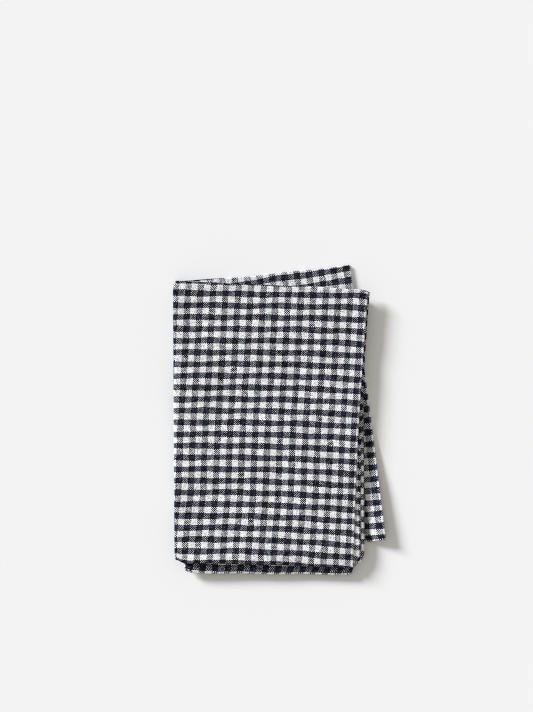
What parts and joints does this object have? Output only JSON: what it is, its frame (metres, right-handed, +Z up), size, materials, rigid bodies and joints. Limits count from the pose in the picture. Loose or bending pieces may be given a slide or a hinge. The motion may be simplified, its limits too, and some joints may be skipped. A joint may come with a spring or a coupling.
{
  "type": "folded tea towel",
  "caption": "Woven cotton tea towel in small navy and white checks, doubled and folded back and forth into a flat rectangular packet with its lowest panel turned slightly askew.",
  "frame": {"origin": "middle of the packet's plan box, on the surface it lies on", "axes": "+Z up out of the surface, +Y along the panels towards the cloth's selvedges, +X across the panels towards the free ends"},
  "size_m": [0.1904, 0.2782, 0.012],
  "materials": {
    "checked_cotton": "plain-weave cotton in even checks of navy and white, matt"
  },
  "bodies": {
    "root": {"towel": "checked_cotton"}
  },
  "joints": []
}
